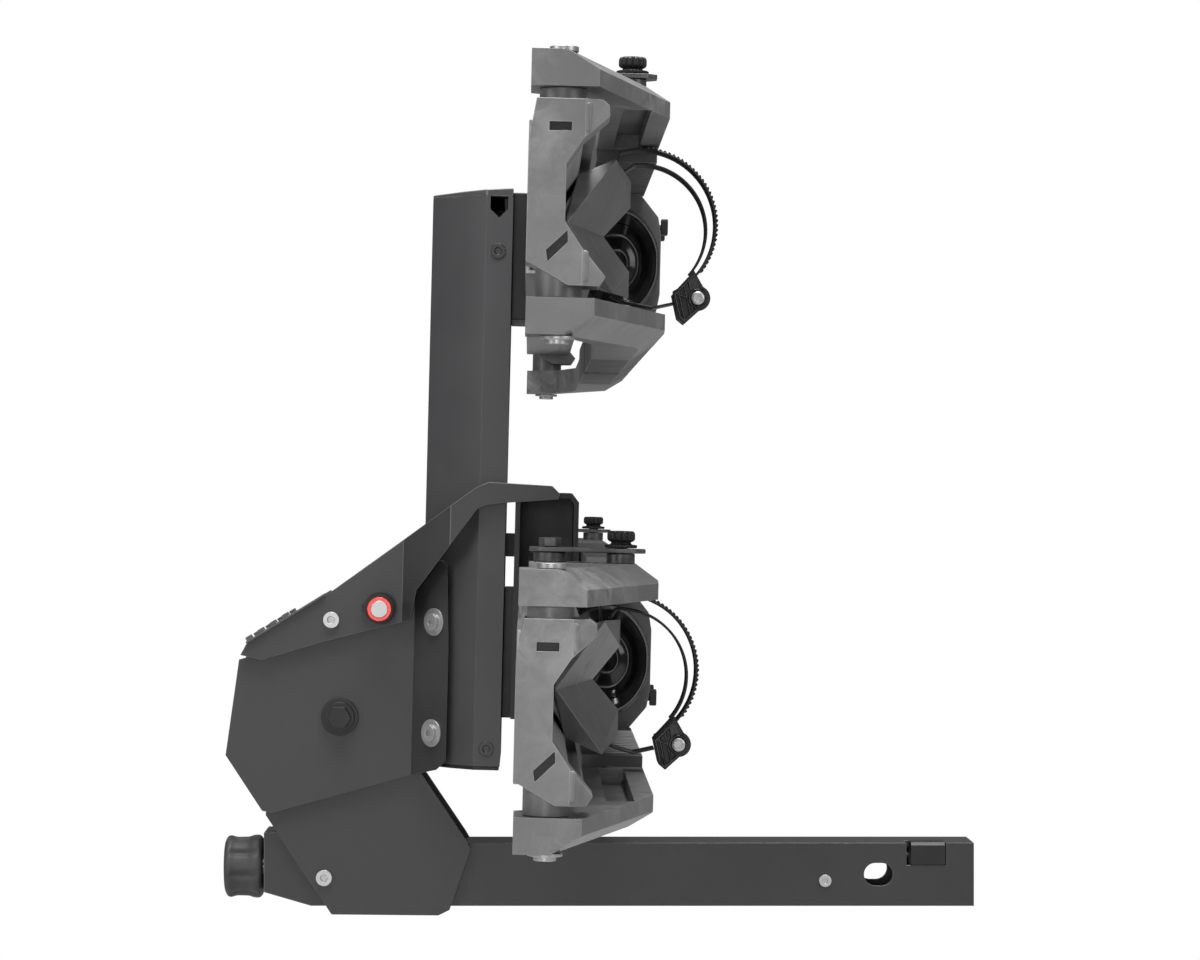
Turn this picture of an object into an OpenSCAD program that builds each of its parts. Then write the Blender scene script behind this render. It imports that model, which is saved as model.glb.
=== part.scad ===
/* [Hitch bar] */
// Width and height of the square hitch bar
bar_size = 50.8; // [50:0.1:52]
// Wall of the hitch bar
bar_wall = 5; // [3:0.5:7]
// Distance from the pin hole to the vehicle end of the bar
bar_nose = 77; // [70:1:140]
// Distance from the pin hole back to the end housing
bar_tail = 440; // [430:1:445]
// Height of the pin hole
pin_hole_h = 18.4; // [16:0.2:20]
// Length of the pin hole along the bar
pin_hole_len = 23.4; // [21:0.2:28]

/* [Anti-wobble] */
// Diameter of the hand knob
knob_d = 51; // [40:1:54]
// Length of the hand knob
knob_len = 31; // [24:1:40]
// Height of the knob axis above the bar axis
knob_z = 4; // [2:0.5:5]
// Length of the wedge along the bar
wedge_len = 28; // [20:1:34]
// Height and depth of the wedge faces
wedge_h = 18; // [14:1:20]
// Distance from the pin hole to the middle of the wedge
wedge_at = 40; // [38:0.5:44]
// Travel of the wedge
wedge_travel = 3; // [2:0.5:4]
// Diameter of the draw rod
rod_d = 7; // [5:0.5:8]
// Height of the draw rod above the bar axis
rod_z = 14; // [13.5:0.1:14.4]

/* [Brackets] */
// Thickness of the lower bracket plates
low_t = 6; // [4:0.5:7]
// Thickness of the upper bracket plates
up_t = 5; // [4:0.5:6]
// Side gap between the lower and the upper bracket plates
side_gap = 1.6; // [1:0.1:3]
// Height of the main pivot above the bar axis
pivot_up = 128; // [124:1:134]
// Distance of the main pivot behind the pin hole
pivot_back = 434; // [430:1:438]
// Diameter of the main pivot bolt
pivot_d = 16; // [12:1:18]
// Lean of the stowed mast towards the vehicle
lean = 1.4; // [0:0.1:3]

/* [Mast] */
// Distance from the pivot to the rear face of the mast
mast_rear = 65; // [63:0.5:67]
// Depth of the mast section
mast_depth = 64.5; // [60:0.5:66]
// Width of the mast section
mast_w = 150; // [140:1:156]
// Width of the narrow rear face of the mast
mast_rear_w = 75; // [72:0.5:78]
// Height of the mast above the pivot
mast_top = 418; // [410:1:430]
// Reach of the mast below the pivot
mast_low = 34; // [30:1:36]
// Wall of the mast
mast_wall = 4; // [3:0.5:6]

/* [Release lever] */
// Thickness of the lever plates
lever_t = 5; // [4:0.5:6]
// Side gap between the upper bracket and the lever plates
lever_gap = 2; // [1:0.1:3]
// Height of the lever bolt above the pivot
lever_bolt_w = 78; // [76:0.5:80]
// Diameter of the lever bolt shank
lever_bolt_d = 10; // [8:0.5:11]
// Diameter of the locking pin
lock_d = 10; // [8:0.5:11]
// Outer diameter of the red ring
ring_d = 19; // [17:0.5:21]

/* [Trays] */
// Distance between the two trays along the mast
pitch = 317.3; // [312:0.5:324]
// Height of the lower tray above the pivot
tray_w0 = 51.9; // [50:0.1:54]
// Half of the overall width of a tray
half_w = 713; // [680:1:730]
// Distance from the pivot to the floor side of the trays
tray_u0 = 142; // [141:0.5:145]
// Depth of the tray beam
beam_depth = 34; // [30:0.5:35]
// Width of the tray beam
beam_w = 96; // [88:1:100]
// Wall of the tray beam
beam_wall = 3; // [2:0.5:4]
// Height of the lips along the tray beam
beam_lip = 9; // [6:0.5:11]
// Height of an end casting between the hoop arms
cast_h = 114; // [110:0.5:116]
// Length of an end casting along the tray
cast_len = 44; // [40:1:50]

/* [Hoops] */
// Half height of a hoop at its outer faces
arm_out = 87; // [85:0.5:92]
// Thickness of a hoop arm
arm_t = 22.5; // [20:0.5:24]
// Width of an arm at its pivot end
arm_w = 42; // [40:0.5:46]
// Reach of an arm beyond its floor side
arm_reach = 92.5; // [90:0.5:96]
// Width of the chamfer along the arm
cham_w = 16; // [10:0.5:18]
// Height of the chamfer along the arm
cham_h = 10; // [6:0.5:12]
// Distance of the hoop pivot from the end of the tray
hinge_in = 20; // [19:0.5:22]
// Diameter of the hoop pivot tube
tube_d = 29; // [26:0.5:30]
// Diameter of the hoop pivot bolt
hinge_d = 10; // [8:0.5:12]
// Distance from the end of the tray to the widest point of an arm
arm_taper = 178; // [165:1:185]
// Distance of the arm step from the middle of the tray
arm_step = 310; // [300:1:330]
// Half of the gap between the two hoops of a tray
hoop_gap = 20; // [15:1:30]
// Distance of the hand knob from the middle of the tray
grip_y = 500; // [490:1:510]
// Diameter of the hand knob
grip_d = 19; // [17:0.5:22]
// Height of the link plate above the arm
link_rise = 7; // [5:0.5:10]

/* [Wheel cradle] */
// Distance of the outer end of the cradle from the middle
cradle_out = 470; // [460:1:480]
// Distance of the inner end of the cradle from the middle
cradle_in = 310; // [300:1:325]
// Half width of the cradle
cradle_half = 46; // [40:0.5:50]
// Width of the straps
strap_w = 22; // [18:1:26]
// Thickness of the straps
strap_t = 1.8; // [1.4:0.1:2.4]
// Radius of the toothed strap
strap_r = 54.5; // [53:0.5:56]
// Number of teeth on the toothed strap
strap_teeth = 34; // [20:1:40]

/* [Hidden] */
$fn = 48;
// Clearance of a bolt in its hole
bolt_fit = 0.25;
// Running clearance of a turning fit, on the radius
run_fit = 0.06;
// Clearance between faces that slide past each other
slide_fit = 0.3;
half_bar = bar_size / 2;
low_out = half_bar + low_t;
up_in = low_out + side_gap;
up_out = up_in + up_t;
lever_in = up_out + lever_gap;
lever_out = lever_in + lever_t;
mast_front = mast_rear + mast_depth;
half_mast = mast_w / 2;
half_rear = mast_rear_w / 2;
// Corner line on the slanted side of the mast
mid_u = mast_rear + 25;
mid_y = half_rear + 25;
flat_u = mast_front - 21;
// Bend line that lays the flange on the slanted side of the mast
bend_u = mast_rear - half_rear + up_in - up_t * 0.414 - 0.4;
flange_run = 31;
housing_back = bar_tail + 56;
shaft_d = 12;
bolt_x = -pivot_back - 13;
bolt_z = -2;
head_d = 13;
lever_bolt_u = -8.3;
lock_u = 31;
lock_w = 88.4;
arm_in = arm_out - arm_t;
rail_in = arm_in - 8.5;
arm_edge = tray_u0 + arm_reach;
arm_root = tray_u0 + arm_w;
rail_u = tray_u0 + 48;
hinge_u = tray_u0 + 20.6;
hinge_y = half_w - hinge_in;
saddle_y = half_mast - 2;
tube_low = 38;
latch_u = 122;
latch_v = -43.7;
latch_d = 5.2;
beam_top = tray_u0 + beam_depth;
beam_floor = beam_top - 10.5;
beam_y = half_w - cast_len;
grip_u = tray_u0 + 68;
link_z = arm_out + link_rise;
lug_in = hinge_u - 14;
lever_swing = 6;
link_t = 3;
plate_y = hoop_gap + 20;
strap_y = 345;
tread_run = 66.2;
tread_rise = 43;
pedal_u = lever_bolt_u - 67.7;
pedal_w = lever_bolt_w - 21;
side_screws = [mast_top - 43.3, -20];
flange_screws = [78.7, -10];

module at_mast() {
    translate([-pivot_back, 0, pivot_up]) rotate([0, lean, 0]) children();
}

module at_tray(level) {
    at_mast() translate([0, 0, tray_w0 + level * pitch]) children();
}

// The near end is drawn and the far end is its mirror image
module at_end(far) {
    mirror([0, far, 0]) children();
}

module both_sides() {
    children();
    mirror([0, 1, 0]) children();
}

module top_and_bottom() {
    children();
    mirror([0, 0, 1]) children();
}

// A rod along Y between two distances
module y_rod(d, y0, y1) {
    translate([0, y0, 0]) rotate([-90, 0, 0]) cylinder(d = d, h = y1 - y0);
}

// A plate drawn in X and Z, thick along Y
module y_plate(points, y0, y1) {
    translate([0, y1, 0]) rotate([90, 0, 0]) linear_extrude(y1 - y0) polygon(points);
}

// A socket head that stands on a face at y and points towards -Y
module socket_head(d, y, h) {
    difference() {
        y_rod(d, y - h, y);
        y_rod(d * 0.45, y - h - 1, y - h + 2.5);
    }
}

module hitch_bar() {
    color([0.16, 0.16, 0.17]) difference() {
        translate([-bar_tail, -half_bar, -half_bar])
            cube([bar_tail + bar_nose, bar_size, bar_size]);
        translate([-bar_tail - 1, bar_wall - half_bar, bar_wall - half_bar])
            cube([bar_tail + bar_nose + 2, bar_size - 2 * bar_wall, bar_size - 2 * bar_wall]);
        for (side = [-1, 1])
            translate([side * (pin_hole_len - pin_hole_h) / 2, 0, 0])
                y_rod(pin_hole_h, -half_bar - 1, half_bar + 1);
        translate([-(pin_hole_len - pin_hole_h) / 2, -half_bar - 1, -pin_hole_h / 2])
            cube([pin_hole_len - pin_hole_h, bar_size + 2, pin_hole_h]);
        translate([wedge_at - wedge_len / 2 - wedge_travel - 0.5, -half_bar - 1, half_bar - wedge_h])
            cube([wedge_len + wedge_travel + 1, wedge_h + 1, wedge_h + 1]);
        translate([-43, 0, -5]) y_rod(6.2, -half_bar - 1, 0);
    }
}

module end_housing() {
    color([0.13, 0.13, 0.14]) difference() {
        union() {
            y_plate([[-housing_back, 11 - half_bar], [-housing_back, half_bar + 8.5],
                [-bar_tail - 6, half_bar + 8.5], [-bar_tail, half_bar], [-bar_tail, -half_bar],
                [-bar_tail - 18, -half_bar]], -half_bar, half_bar);
            translate([-bar_tail, bar_wall + 0.2 - half_bar, bar_wall + 0.2 - half_bar])
                cube([12, bar_size - 2 * bar_wall - 0.4, bar_size - 2 * bar_wall - 0.4]);
        }
        translate([-housing_back - 1, 0, knob_z]) rotate([0, 90, 0])
            cylinder(d = shaft_d + 2 * run_fit, h = housing_back - bar_tail + 40);
    }
}

module lower_brackets() {
    ear = mast_rear - 5;
    back = -pivot_back;
    color([0.17, 0.17, 0.18]) both_sides() difference() {
        union() {
            y_plate([[back - 60, half_bar + 23], [back - 7, -half_bar - 6.2],
                [back + 79, -half_bar - 7], [back + 88, -half_bar - 2.6],
                [back + 105, half_bar - 4], [back + 100, half_bar + 4.6],
                [back + 65, pivot_up - 46], [back + ear * 0.8, pivot_up],
                [back - ear * 0.9, pivot_up]], -low_out, -half_bar);
            translate([-pivot_back, 0, pivot_up]) y_rod(2 * ear, -low_out, -half_bar);
        }
        translate([-pivot_back, 0, pivot_up]) y_rod(pivot_d + 2 * bolt_fit, -low_out - 1, -half_bar + 1);
        translate([bolt_x, 0, bolt_z]) y_rod(5, -low_out - 1, -half_bar + 1);
    }
}

module bracket_bolt() {
    color([0.7, 0.7, 0.7]) both_sides() union() {
        translate([bolt_x, 0, bolt_z]) socket_head(head_d, -low_out, 3);
        translate([bolt_x, 0, bolt_z]) y_rod(4.6, -low_out, -half_bar);
    }
}

module bar_screw() {
    color([0.7, 0.7, 0.7]) translate([-43, 0, -5]) union() {
        socket_head(10, -half_bar, 1.5);
        y_rod(6, -half_bar - 0.1, -half_bar + bar_wall + 2);
    }
}

module pivot_bolt() {
    color([0.1, 0.1, 0.1]) translate([-pivot_back, 0, pivot_up]) union() {
        y_rod(pivot_d, -up_out - slide_fit - 4, up_out + slide_fit + 4);
        both_sides() union() {
            y_rod(30, -up_out - slide_fit - 3, -up_out - slide_fit);
            y_rod(24, -up_out - slide_fit - 6, -up_out - slide_fit - 3);
            translate([0, -up_out - slide_fit - 5.9, 0]) rotate([90, 0, 0])
                cylinder(d = 19, h = 6, $fn = 6);
        }
    }
}

module pivot_spacer() {
    color([0.15, 0.15, 0.15]) translate([-pivot_back, 0, pivot_up]) difference() {
        y_rod(pivot_d + 12, -half_bar, half_bar);
        y_rod(pivot_d + 2 * bolt_fit, -half_bar - 1, half_bar + 1);
    }
}

module wobble_knob() {
    grip = knob_d / 2;
    color([0.12, 0.12, 0.12])
    translate([-housing_back - 2, 0, knob_z]) rotate([0, -90, 0]) difference() {
        rotate_extrude() polygon([[0, 0], [grip - 3, 0], [grip, 2], [grip, 7],
            [grip - 1.6, 12], [grip - 1.6, knob_len - 9], [grip - 0.4, knob_len - 6],
            [grip - 1, knob_len - 2.5], [grip - 4, knob_len], [0, knob_len]]);
        for (turn = [0:45:315])
            rotate([0, 0, turn + 12]) translate([grip + 1.6, 0, 6])
                cylinder(d = 6, h = knob_len - 12);
        translate([0, 0, -1]) cylinder(d = shaft_d, h = 13);
    }
}

module knob_shaft() {
    color([0.6, 0.6, 0.6]) translate([-housing_back - 14, 0, knob_z]) rotate([0, 90, 0])
        cylinder(d = shaft_d, h = 14 + housing_back - bar_tail + 26);
}

module draw_rod() {
    block_back = -bar_tail + 20;
    color([0.6, 0.6, 0.6]) union() {
        difference() {
            translate([block_back, -14, knob_z - 15]) cube([22, 28, 30]);
            translate([block_back - 1, 0, knob_z]) rotate([0, 90, 0])
                cylinder(d = shaft_d + 2 * slide_fit, h = 24);
        }
        translate([block_back + 21, 0, rod_z]) rotate([0, 90, 0])
            cylinder(d = rod_d, h = wedge_at - wedge_len / 2 + bar_tail - 20 - 21 + 3);
    }
}

// The wedge fills the cut corner of the bar and its foot holds the draw rod
module wedge() {
    x0 = wedge_at - wedge_len / 2;
    color([0.07, 0.07, 0.07]) difference() {
        union() {
            difference() {
                translate([x0, -half_bar - 0.8, half_bar - wedge_h + slide_fit])
                    cube([wedge_len, wedge_h + 0.8 - slide_fit, wedge_h + 0.8 - slide_fit]);
                translate([x0 - 1, -half_bar - 0.8, half_bar + 0.8]) rotate([45, 0, 0])
                    translate([0, -2, -2]) cube([wedge_len + 2, 4, 4]);
            }
            translate([x0 + 3, -half_bar + bar_wall + 3, rod_z - rod_d / 2 - 2])
                cube([wedge_len - 6, half_bar - bar_wall - 3 + 6, rod_d + 3]);
        }
        translate([x0 - 1, 0, rod_z]) rotate([0, 90, 0]) cylinder(d = rod_d, h = 4);
    }
}

// Outline of the mast section in plan, half of it
function mast_half(inset) = [[mast_rear + inset, -half_rear + inset * 0.42],
    [mid_u + inset * 0.2, -mid_y + inset],
    [flat_u + inset * 0.3, -half_mast + inset],
    [mast_front - inset, -half_mast + inset]];

function mirrored(points) = [for (i = [len(points) - 1:-1:0]) [points[i][0], -points[i][1]]];

module mast_section(inset) {
    polygon(concat(mast_half(inset), mirrored(mast_half(inset))));
}

module mast_tube() {
    color([0.19, 0.19, 0.2]) at_mast() difference() {
        translate([0, 0, -mast_low]) linear_extrude(mast_top + mast_low) mast_section(0);
        translate([0, 0, -mast_low - 1]) linear_extrude(mast_top + mast_low + 2)
            mast_section(mast_wall);
        y_plate([[flat_u + 3, mast_top + 1], [flat_u + 3, mast_top - 10], [flat_u + 10, mast_top - 17],
            [flat_u + 17, mast_top - 10], [flat_u + 17, mast_top + 1]],
            -half_mast - 1, -half_mast + mast_wall + 0.5);
        for (w = side_screws)
            translate([flat_u + 10, 0, w]) y_rod(6, -half_mast - 1, half_mast + 1);
        both_sides() for (w = flange_screws)
            flange_axis(w) translate([0, 0, -up_t - 8]) cylinder(d = 8.6, h = up_t + 8);
    }
}

module mast_top_cap() {
    color([0.15, 0.15, 0.16]) at_mast() union() {
        difference() {
            translate([0, 0, mast_top]) linear_extrude(7) mast_section(0);
            translate([mast_rear - 6, -half_mast - 1, mast_top + 2]) rotate([0, -4, 0])
                cube([mast_depth + 20, mast_w + 2, 20]);
        }
        translate([0, 0, mast_top - 12]) linear_extrude(12) difference() {
            mast_section(mast_wall + 0.2);
            mast_section(mast_wall + 3);
            translate([flat_u, -half_mast]) square([20, 20]);
        }
    }
}

module mast_bottom_cap() {
    color([0.12, 0.12, 0.12]) at_mast() union() {
        translate([0, 0, -mast_low - 3]) linear_extrude(3) mast_section(0.6);
        translate([0, 0, -mast_low]) linear_extrude(8) difference() {
            mast_section(mast_wall + 0.2);
            mast_section(mast_wall + 3);
        }
    }
}

module mast_screws() {
    color([0.35, 0.35, 0.35]) at_mast() both_sides()
        for (w = side_screws)
            translate([flat_u + 10, 0, w]) union() {
                socket_head(12, -half_mast, 1.2);
                y_rod(5.4, -half_mast - 0.1, -half_mast + mast_wall + 2);
            }
}

// Path of the upper bracket in plan: flat plate, bend, flange on the slanted side
module bracket_path() {
    k = up_t * 0.414;
    q = up_t * 0.7071;
    polygon([[-120, -up_out], [bend_u, -up_out], [bend_u + flange_run, -up_out - flange_run],
        [bend_u + flange_run + q, -up_out - flange_run + q], [bend_u + k, -up_in], [-120, -up_in]]);
}

module upper_brackets() {
    b = bend_u;
    color([0.17, 0.17, 0.18]) at_mast() both_sides() difference() {
        intersection() {
            translate([0, 0, -100]) linear_extrude(260) bracket_path();
            y_plate([[-82, 44], [-91, -33], [-60.6, -77], [-52.5, -78.5], [b + 21, -39],
                [b + 28.5, -31], [b + 28.5, 60], [b + 26, 124], [b + 22, 128], [b - 4, 128],
                [-12, 86], [-62, 50]], -120, 0);
        }
        y_rod(pivot_d + 2 * run_fit, -up_out - 1, -up_in + 1);
        translate([lever_bolt_u, 0, lever_bolt_w])
            y_rod(lever_bolt_d + 2 * bolt_fit, -up_out - 1, -up_in + 1);
        lock_slot(-up_out - 1, -up_in + 1);
        for (w = flange_screws) flange_axis(w) cylinder(d = 8.6, h = 3 * up_t, center = true);
    }
}

// Short slot that the locking pin reaches at every angle of the lever
module lock_slot(y0, y1) {
    run = [lock_u - lever_bolt_u, lock_w - lever_bolt_w];
    wide = lock_d + 2 * slide_fit;
    web = lock_d + slide_fit;
    half = lever_swing / 2;
    translate([lever_bolt_u, 0, lever_bolt_w]) {
        for (turn = [0, lever_swing]) rotate([0, -turn, 0]) translate([run[0], 0, run[1]])
            y_rod(wide, y0, y1);
        rotate([0, -half - atan2(run[1], run[0]), 0])
            translate([norm(run) * cos(half) - web / 2, y0, -norm(run) * sin(half)])
                cube([web, y1 - y0, 2 * norm(run) * sin(half)]);
    }
}

// Stands on the outer face of the flange, with +Z out of it
module flange_axis(w) {
    translate([bend_u + 16.7, -up_out - 16.7, w]) rotate([90, 0, 0]) rotate([0, -45, 0]) children();
}

module flange_bolts() {
    color([0.7, 0.7, 0.7]) at_mast() both_sides() for (w = flange_screws)
        flange_axis(w) difference() {
            union() {
                cylinder(d = 22, h = 1.6);
                translate([0, 0, 1.5]) cylinder(d = 14, h = 3.3);
                translate([0, 0, -up_t - 6]) cylinder(d = 8, h = up_t + 6.1);
            }
            translate([0, 0, 2.4]) cylinder(d = 6, h = 4, $fn = 6);
        }
}

module lever_bolt() {
    color([0.7, 0.7, 0.7]) at_mast() translate([lever_bolt_u, 0, lever_bolt_w]) union() {
        y_rod(lever_bolt_d, -lever_out - 0.4, lever_out + 0.4);
        both_sides() socket_head(head_d, -lever_out - slide_fit, 3);
    }
}

// Path of a lever plate in plan: along the bracket, outwards round the mast, then along the mast
module lever_path() {
    bend = bend_u - 10;
    out = half_mast + 3;
    run = out - lever_in;
    k = lever_t * 0.414;
    polygon([[-120, -lever_out], [bend, -lever_out], [bend + run, -out - lever_t],
        [200, -out - lever_t], [200, -out], [bend + run + k, -out],
        [bend + k, -lever_in], [-120, -lever_in]]);
}

module lever_plates() {
    reach = mast_front + 42.5 - lever_bolt_u;
    color([0.2, 0.2, 0.21]) at_mast() both_sides() difference() {
        intersection() {
            translate([0, 0, 30]) linear_extrude(180) lever_path();
            translate([lever_bolt_u, 0, lever_bolt_w])
                y_plate([[-72.3, -30], [-67.7, -21], [tread_run - 67.7, tread_rise - 21],
                    [114, 109], [124, 113.5],
                    [reach - 6, 111.5], [reach, 105.6], [reach - 1, 101], [132.8, 96.9],
                    [122, 95], [115, 91.6], [68, 25.6], [63, 1.4], [-6.7, -18],
                    [-54.6, -33.5]], -140, 0);
        }
        translate([lever_bolt_u, 0, lever_bolt_w])
            y_rod(lever_bolt_d + 2 * run_fit, -lever_out - 1, -lever_in + 1);
        translate([lock_u, 0, lock_w]) y_rod(lock_d + 2 * slide_fit, -lever_out - 1, -lever_in + 1);
    }
}

// Each lever plate carries a tread with four ribs, folded over its upper edge
module lever_tread() {
    slope = atan2(tread_rise, tread_run);
    color([0.22, 0.22, 0.23]) at_mast() both_sides() translate([pedal_u, 0, pedal_w])
        rotate([0, -slope, 0]) union() {
            translate([0.5, -lever_out - 4, 0]) cube([tread_run + 8, lever_t + 10, 1.7]);
            for (i = [0:3]) translate([2 + i * 11.5, -lever_out - 4, 1.6])
                cube([5, lever_t + 10, 3]);
        }
}

module lock_collar() {
    color([0.05, 0.05, 0.05]) at_mast() translate([lock_u, 0, lock_w]) difference() {
        union() {
            y_rod(26, -lever_out - 3, -lever_out);
            y_rod(22, -lever_out - 18, -lever_out - 2.9);
            translate([-15, -lever_out - 6, -3]) cube([8, 4, 6]);
        }
        y_rod(lock_d + 2 * slide_fit, -lever_out - 19, -lever_out + 1);
    }
}

module lock_pin() {
    color([0.75, 0.75, 0.75]) at_mast() translate([lock_u, 0, lock_w]) union() {
        y_rod(lock_d, -lever_out - 24, -up_out - 0.6);
        y_rod(ring_d - 5.6, -lever_out - 28, -lever_out - 23.9);
    }
}

module lock_ring() {
    color([0.8, 0.08, 0.06]) at_mast() translate([lock_u, 0, lock_w]) difference() {
        y_rod(ring_d, -lever_out - 27.6, -lever_out - 24);
        y_rod(ring_d - 5.6, -lever_out - 29, -lever_out - 23);
    }
}

module tray_pads() {
    color([0.1, 0.1, 0.1]) for (level = [0, 1]) at_tray(level)
        translate([mast_front, -58, -beam_w / 2]) cube([tray_u0 - mast_front, 116, beam_w + 5.5]);
}

// The saddle is a channel that stands on the lower beam and holds it to the mast
module tray_saddle() {
    top = arm_out + 45;
    foot = beam_w / 2;
    color([0.12, 0.12, 0.13]) at_tray(0) difference() {
        union() {
            y_plate([[tray_u0 - 5, foot], [tray_u0 - 5, top - 7], [tray_u0 + 1, top], [rail_u - 8, top],
                [rail_u - 2.5, top - 7], [rail_u - 2.5, foot]], -saddle_y, saddle_y);
            y_plate([[tray_u0 - 5, -foot], [tray_u0, -foot], [tray_u0, foot + 1], [tray_u0 - 5, foot + 1]],
                -saddle_y, saddle_y);
        }
        y_plate([[tray_u0 - 1, foot + 4], [tray_u0 - 1, top - 9], [tray_u0 + 3, top - 4],
            [rail_u - 10, top - 4], [rail_u - 6.5, top - 9], [rail_u - 6.5, foot + 4]],
            -saddle_y - 1, saddle_y + 1);
        translate([mast_front - 20, -58 - slide_fit, -foot - 1])
            cube([tray_u0 - mast_front + 20, 116 + 2 * slide_fit, 2 * foot + 7]);
    }
    color([0.12, 0.12, 0.13]) at_tray(0)
        y_plate([[tray_u0 - 2, foot + 7], [tray_u0 - 2, top - 8], [tray_u0 + 2, top - 3],
            [rail_u - 9, top - 3], [rail_u - 5.5, top - 8], [rail_u - 5.5, foot + 2],
            [tray_u0 + 2, foot + 2]], -2, 2);
    color([0.3, 0.3, 0.31]) at_tray(0) translate([mast_front, -30, foot + 32])
        cube([tray_u0 - 5 - mast_front, 60, 18]);
}

function beam_points(inset) = let (h = beam_w / 2) [[tray_u0 + inset, -h + inset],
    [tray_u0 + inset, h - inset], [beam_top - inset, h - inset], [beam_top - inset, 33.5 + inset],
    [beam_floor - inset, 17.6 + inset * 0.6], [beam_floor - inset, -17.6 - inset * 0.6],
    [beam_top - inset, -33.5 - inset], [beam_top - inset, -h + inset]];

module tray_beam(level) {
    color([0.45, 0.45, 0.46]) at_tray(level) union() {
        difference() {
            y_plate(beam_points(0), -beam_y, beam_y);
            y_plate(beam_points(beam_wall), -beam_y - 1, beam_y + 1);
        }
        for (side = [-beam_w / 2, beam_w / 2 - beam_wall])
            translate([beam_top - 1, -beam_y, side]) cube([beam_lip + 1, 2 * beam_y, beam_wall]);
    }
}

module beam_lower() {
    tray_beam(0);
}

module beam_upper() {
    tray_beam(1);
}

module end_casting() {
    h = cast_h / 2;
    u = tray_u0;
    difference() {
        y_plate([[u + 4.5, h], [u + 45, h], [u + 49, h - 3], [u + 49.6, h - 10], [beam_top, 33],
            [beam_floor, 17], [beam_floor, -18], [beam_top, -33.5], [u + 49, -h + 6],
            [u + 45, -h], [u + 26, -h], [u + 3, -h + 13], [u, -h + 14], [u, 31]],
            -half_w, -half_w + cast_len);
        translate([u + 34.5, -half_w, -h - 1]) rotate([0, 0, 25]) translate([0, -20, 0])
            cube([40, 20, cast_h + 2]);
        top_and_bottom() translate([hinge_u, -hinge_y, tube_low - slide_fit])
            cylinder(d = tube_d + 2 * slide_fit, h = h + 1 - tube_low + slide_fit);
        translate([u + 12.5, -half_w - 1, 37.2]) cube([13.7, 4.5, 5.4]);
        y_plate([[u + 25, -23.8], [u + 25.5, -30.5], [u + 13.3, -42.6], [u + 12.2, -35.9]],
            -half_w - 1, -half_w + 3.5);
    }
}

module end_castings() {
    color([0.5, 0.5, 0.51]) for (level = [0, 1]) for (far = [0, 1])
        at_tray(level) at_end(far) end_casting();
}

// Short tubes carry the arms above and below the tyre notch
module pivot_tubes() {
    color([0.4, 0.4, 0.41]) for (level = [0, 1]) for (far = [0, 1])
        at_tray(level) at_end(far) top_and_bottom() translate([hinge_u, -hinge_y, tube_low]) difference() {
            cylinder(d = tube_d, h = arm_in - slide_fit - tube_low);
            translate([0, 0, -1]) cylinder(d = hinge_d + 2 * bolt_fit, h = arm_in - tube_low + 2);
        }
}

// A flat nut closes the upper bolt, a washer and a head the lower one
module tray_bolts() {
    low = arm_out + slide_fit;
    color([0.65, 0.65, 0.65]) for (level = [0, 1]) for (far = [0, 1])
        at_tray(level) at_end(far) translate([hinge_u, -hinge_y, 0]) {
            union() {
                translate([0, 0, tube_low]) cylinder(d = hinge_d, h = low - tube_low + 1);
                translate([0, 0, low]) cylinder(d = 18, h = 3.2);
            }
            mirror([0, 0, 1]) union() {
                translate([0, 0, tube_low]) cylinder(d = hinge_d, h = low - tube_low + 3);
                translate([0, 0, low]) cylinder(d = 22, h = 2);
                translate([0, 0, low + 1.9]) cylinder(d = 14, h = 3.1);
            }
        }
}

// The upper arm has a lug for the bolt of the link plate
function arm_plan(lug) = concat([[tray_u0 + 0.7, -half_w], [arm_root + 0.5, -half_w],
    [arm_edge, -half_w + arm_taper], [arm_edge, -arm_step], [rail_u, -arm_step]],
    lug ? [[rail_u, -grip_y + 26], [lug_in, -grip_y + 14], [lug_in, -grip_y - 14],
        [rail_u, -grip_y - 26]] : [],
    [[rail_u, -half_w + 160], [tray_u0 + 30, -half_w + 70], [tray_u0 + 0.7, -half_w + 46]]);

// One chamfer lies along the tapered edge and one along the straight edge
module arm_chamfers() {
    tilt = atan2(cham_h, cham_w);
    swing = atan2(arm_edge - arm_root, arm_taper);
    translate([arm_edge - cham_w, -half_w - 10, arm_out]) rotate([0, tilt, 0])
        cube([40, half_w + 10, 30]);
    translate([arm_root - cham_w - 3.5, -half_w, arm_out]) rotate([0, 0, -swing]) rotate([0, tilt, 0])
        translate([0, -40, 0]) cube([60, 300, 30]);
}

module arm(lug) {
    difference() {
        translate([0, 0, arm_in]) linear_extrude(arm_t) polygon(arm_plan(lug));
        arm_chamfers();
        translate([hinge_u, -hinge_y, arm_in - 1]) cylinder(d = hinge_d + 2 * run_fit, h = arm_t + 2);
        if (lug) for (u = [hinge_u, grip_u])
            translate([u, -grip_y, arm_out - 14]) cylinder(d = 8.4, h = 16);
        translate([rail_u + 12, -half_w + 128, arm_in - 1])
            cube([arm_edge - rail_u - 26, half_w - 128 - arm_step - 15, 11]);
    }
}

module hoop_arms(level, far) {
    color([0.45, 0.45, 0.46]) at_tray(level) at_end(far) {
        arm(true);
        mirror([0, 0, 1]) arm(false);
    }
}

module arms_ln() {
    hoop_arms(0, 0);
}

module arms_lf() {
    hoop_arms(0, 1);
}

module arms_un() {
    hoop_arms(1, 0);
}

module arms_uf() {
    hoop_arms(1, 1);
}

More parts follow.
